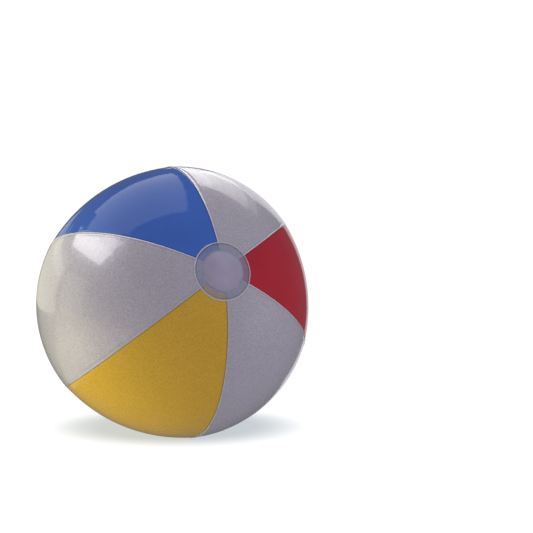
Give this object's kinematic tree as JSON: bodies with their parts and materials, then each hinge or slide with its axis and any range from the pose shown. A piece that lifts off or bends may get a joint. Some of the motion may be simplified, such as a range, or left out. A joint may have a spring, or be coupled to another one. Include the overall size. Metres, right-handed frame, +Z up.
{
  "type": "inflatable beach ball",
  "caption": "Round inflatable ball of curved film panels, white between colours, with round caps at both ends and a push-in valve that has a check flap and a tethered stopper.",
  "frame": {"origin": "centre of the small flat patch on which the inflated ball lies on a floor", "axes": "+Z up from the floor, +Y outward along the valve's axis, +X to the right for someone who looks along +Y at the side with the front cap"},
  "size_m": [0.3399, 0.3406, 0.3395],
  "materials": {
    "white_film": "glossy pearl-white vinyl film",
    "red_film": "glossy red vinyl film",
    "blue_film": "glossy blue vinyl film",
    "yellow_film": "glossy golden-yellow vinyl film",
    "clear_film": "milky translucent vinyl film",
    "valve_vinyl": "soft translucent white vinyl moulding"
  },
  "bodies": {
    "ball": {"red_panel": "red_film", "upper_white_panel": "white_film", "blue_panel": "blue_film", "left_white_panel": "white_film", "yellow_panel": "yellow_film", "lower_white_panel": "white_film", "front_cap": "clear_film", "back_cap": "clear_film", "valve_flange": "valve_vinyl", "valve_web": "valve_vinyl"},
    "valve_stem": {"valve_stem": "valve_vinyl", "stopper_strap": "valve_vinyl"},
    "check_flap": {"check_flap": "valve_vinyl"},
    "stopper": {"stopper": "valve_vinyl"}
  },
  "joints": [
    {"name": "valve_slide", "type": "slide", "parent": "ball", "child": "valve_stem", "axis": [0, 1, 0], "range_m": [0, 0.014], "deforming": ["valve_web"]},
    {"name": "stopper_pull", "type": "slide", "parent": "valve_stem", "child": "stopper", "axis": [0, 1, 0], "range_m": [0, 0.008], "deforming": ["stopper_strap"]},
    {"name": "check_flap_hinge", "type": "hinge", "parent": "valve_stem", "child": "check_flap", "pos_m": [0, 0.1562, 0.17563], "axis": [-1, 0, 0], "range_deg": [0, 60], "stiffness_Nm_per_rad": 0.0001}
  ]
}
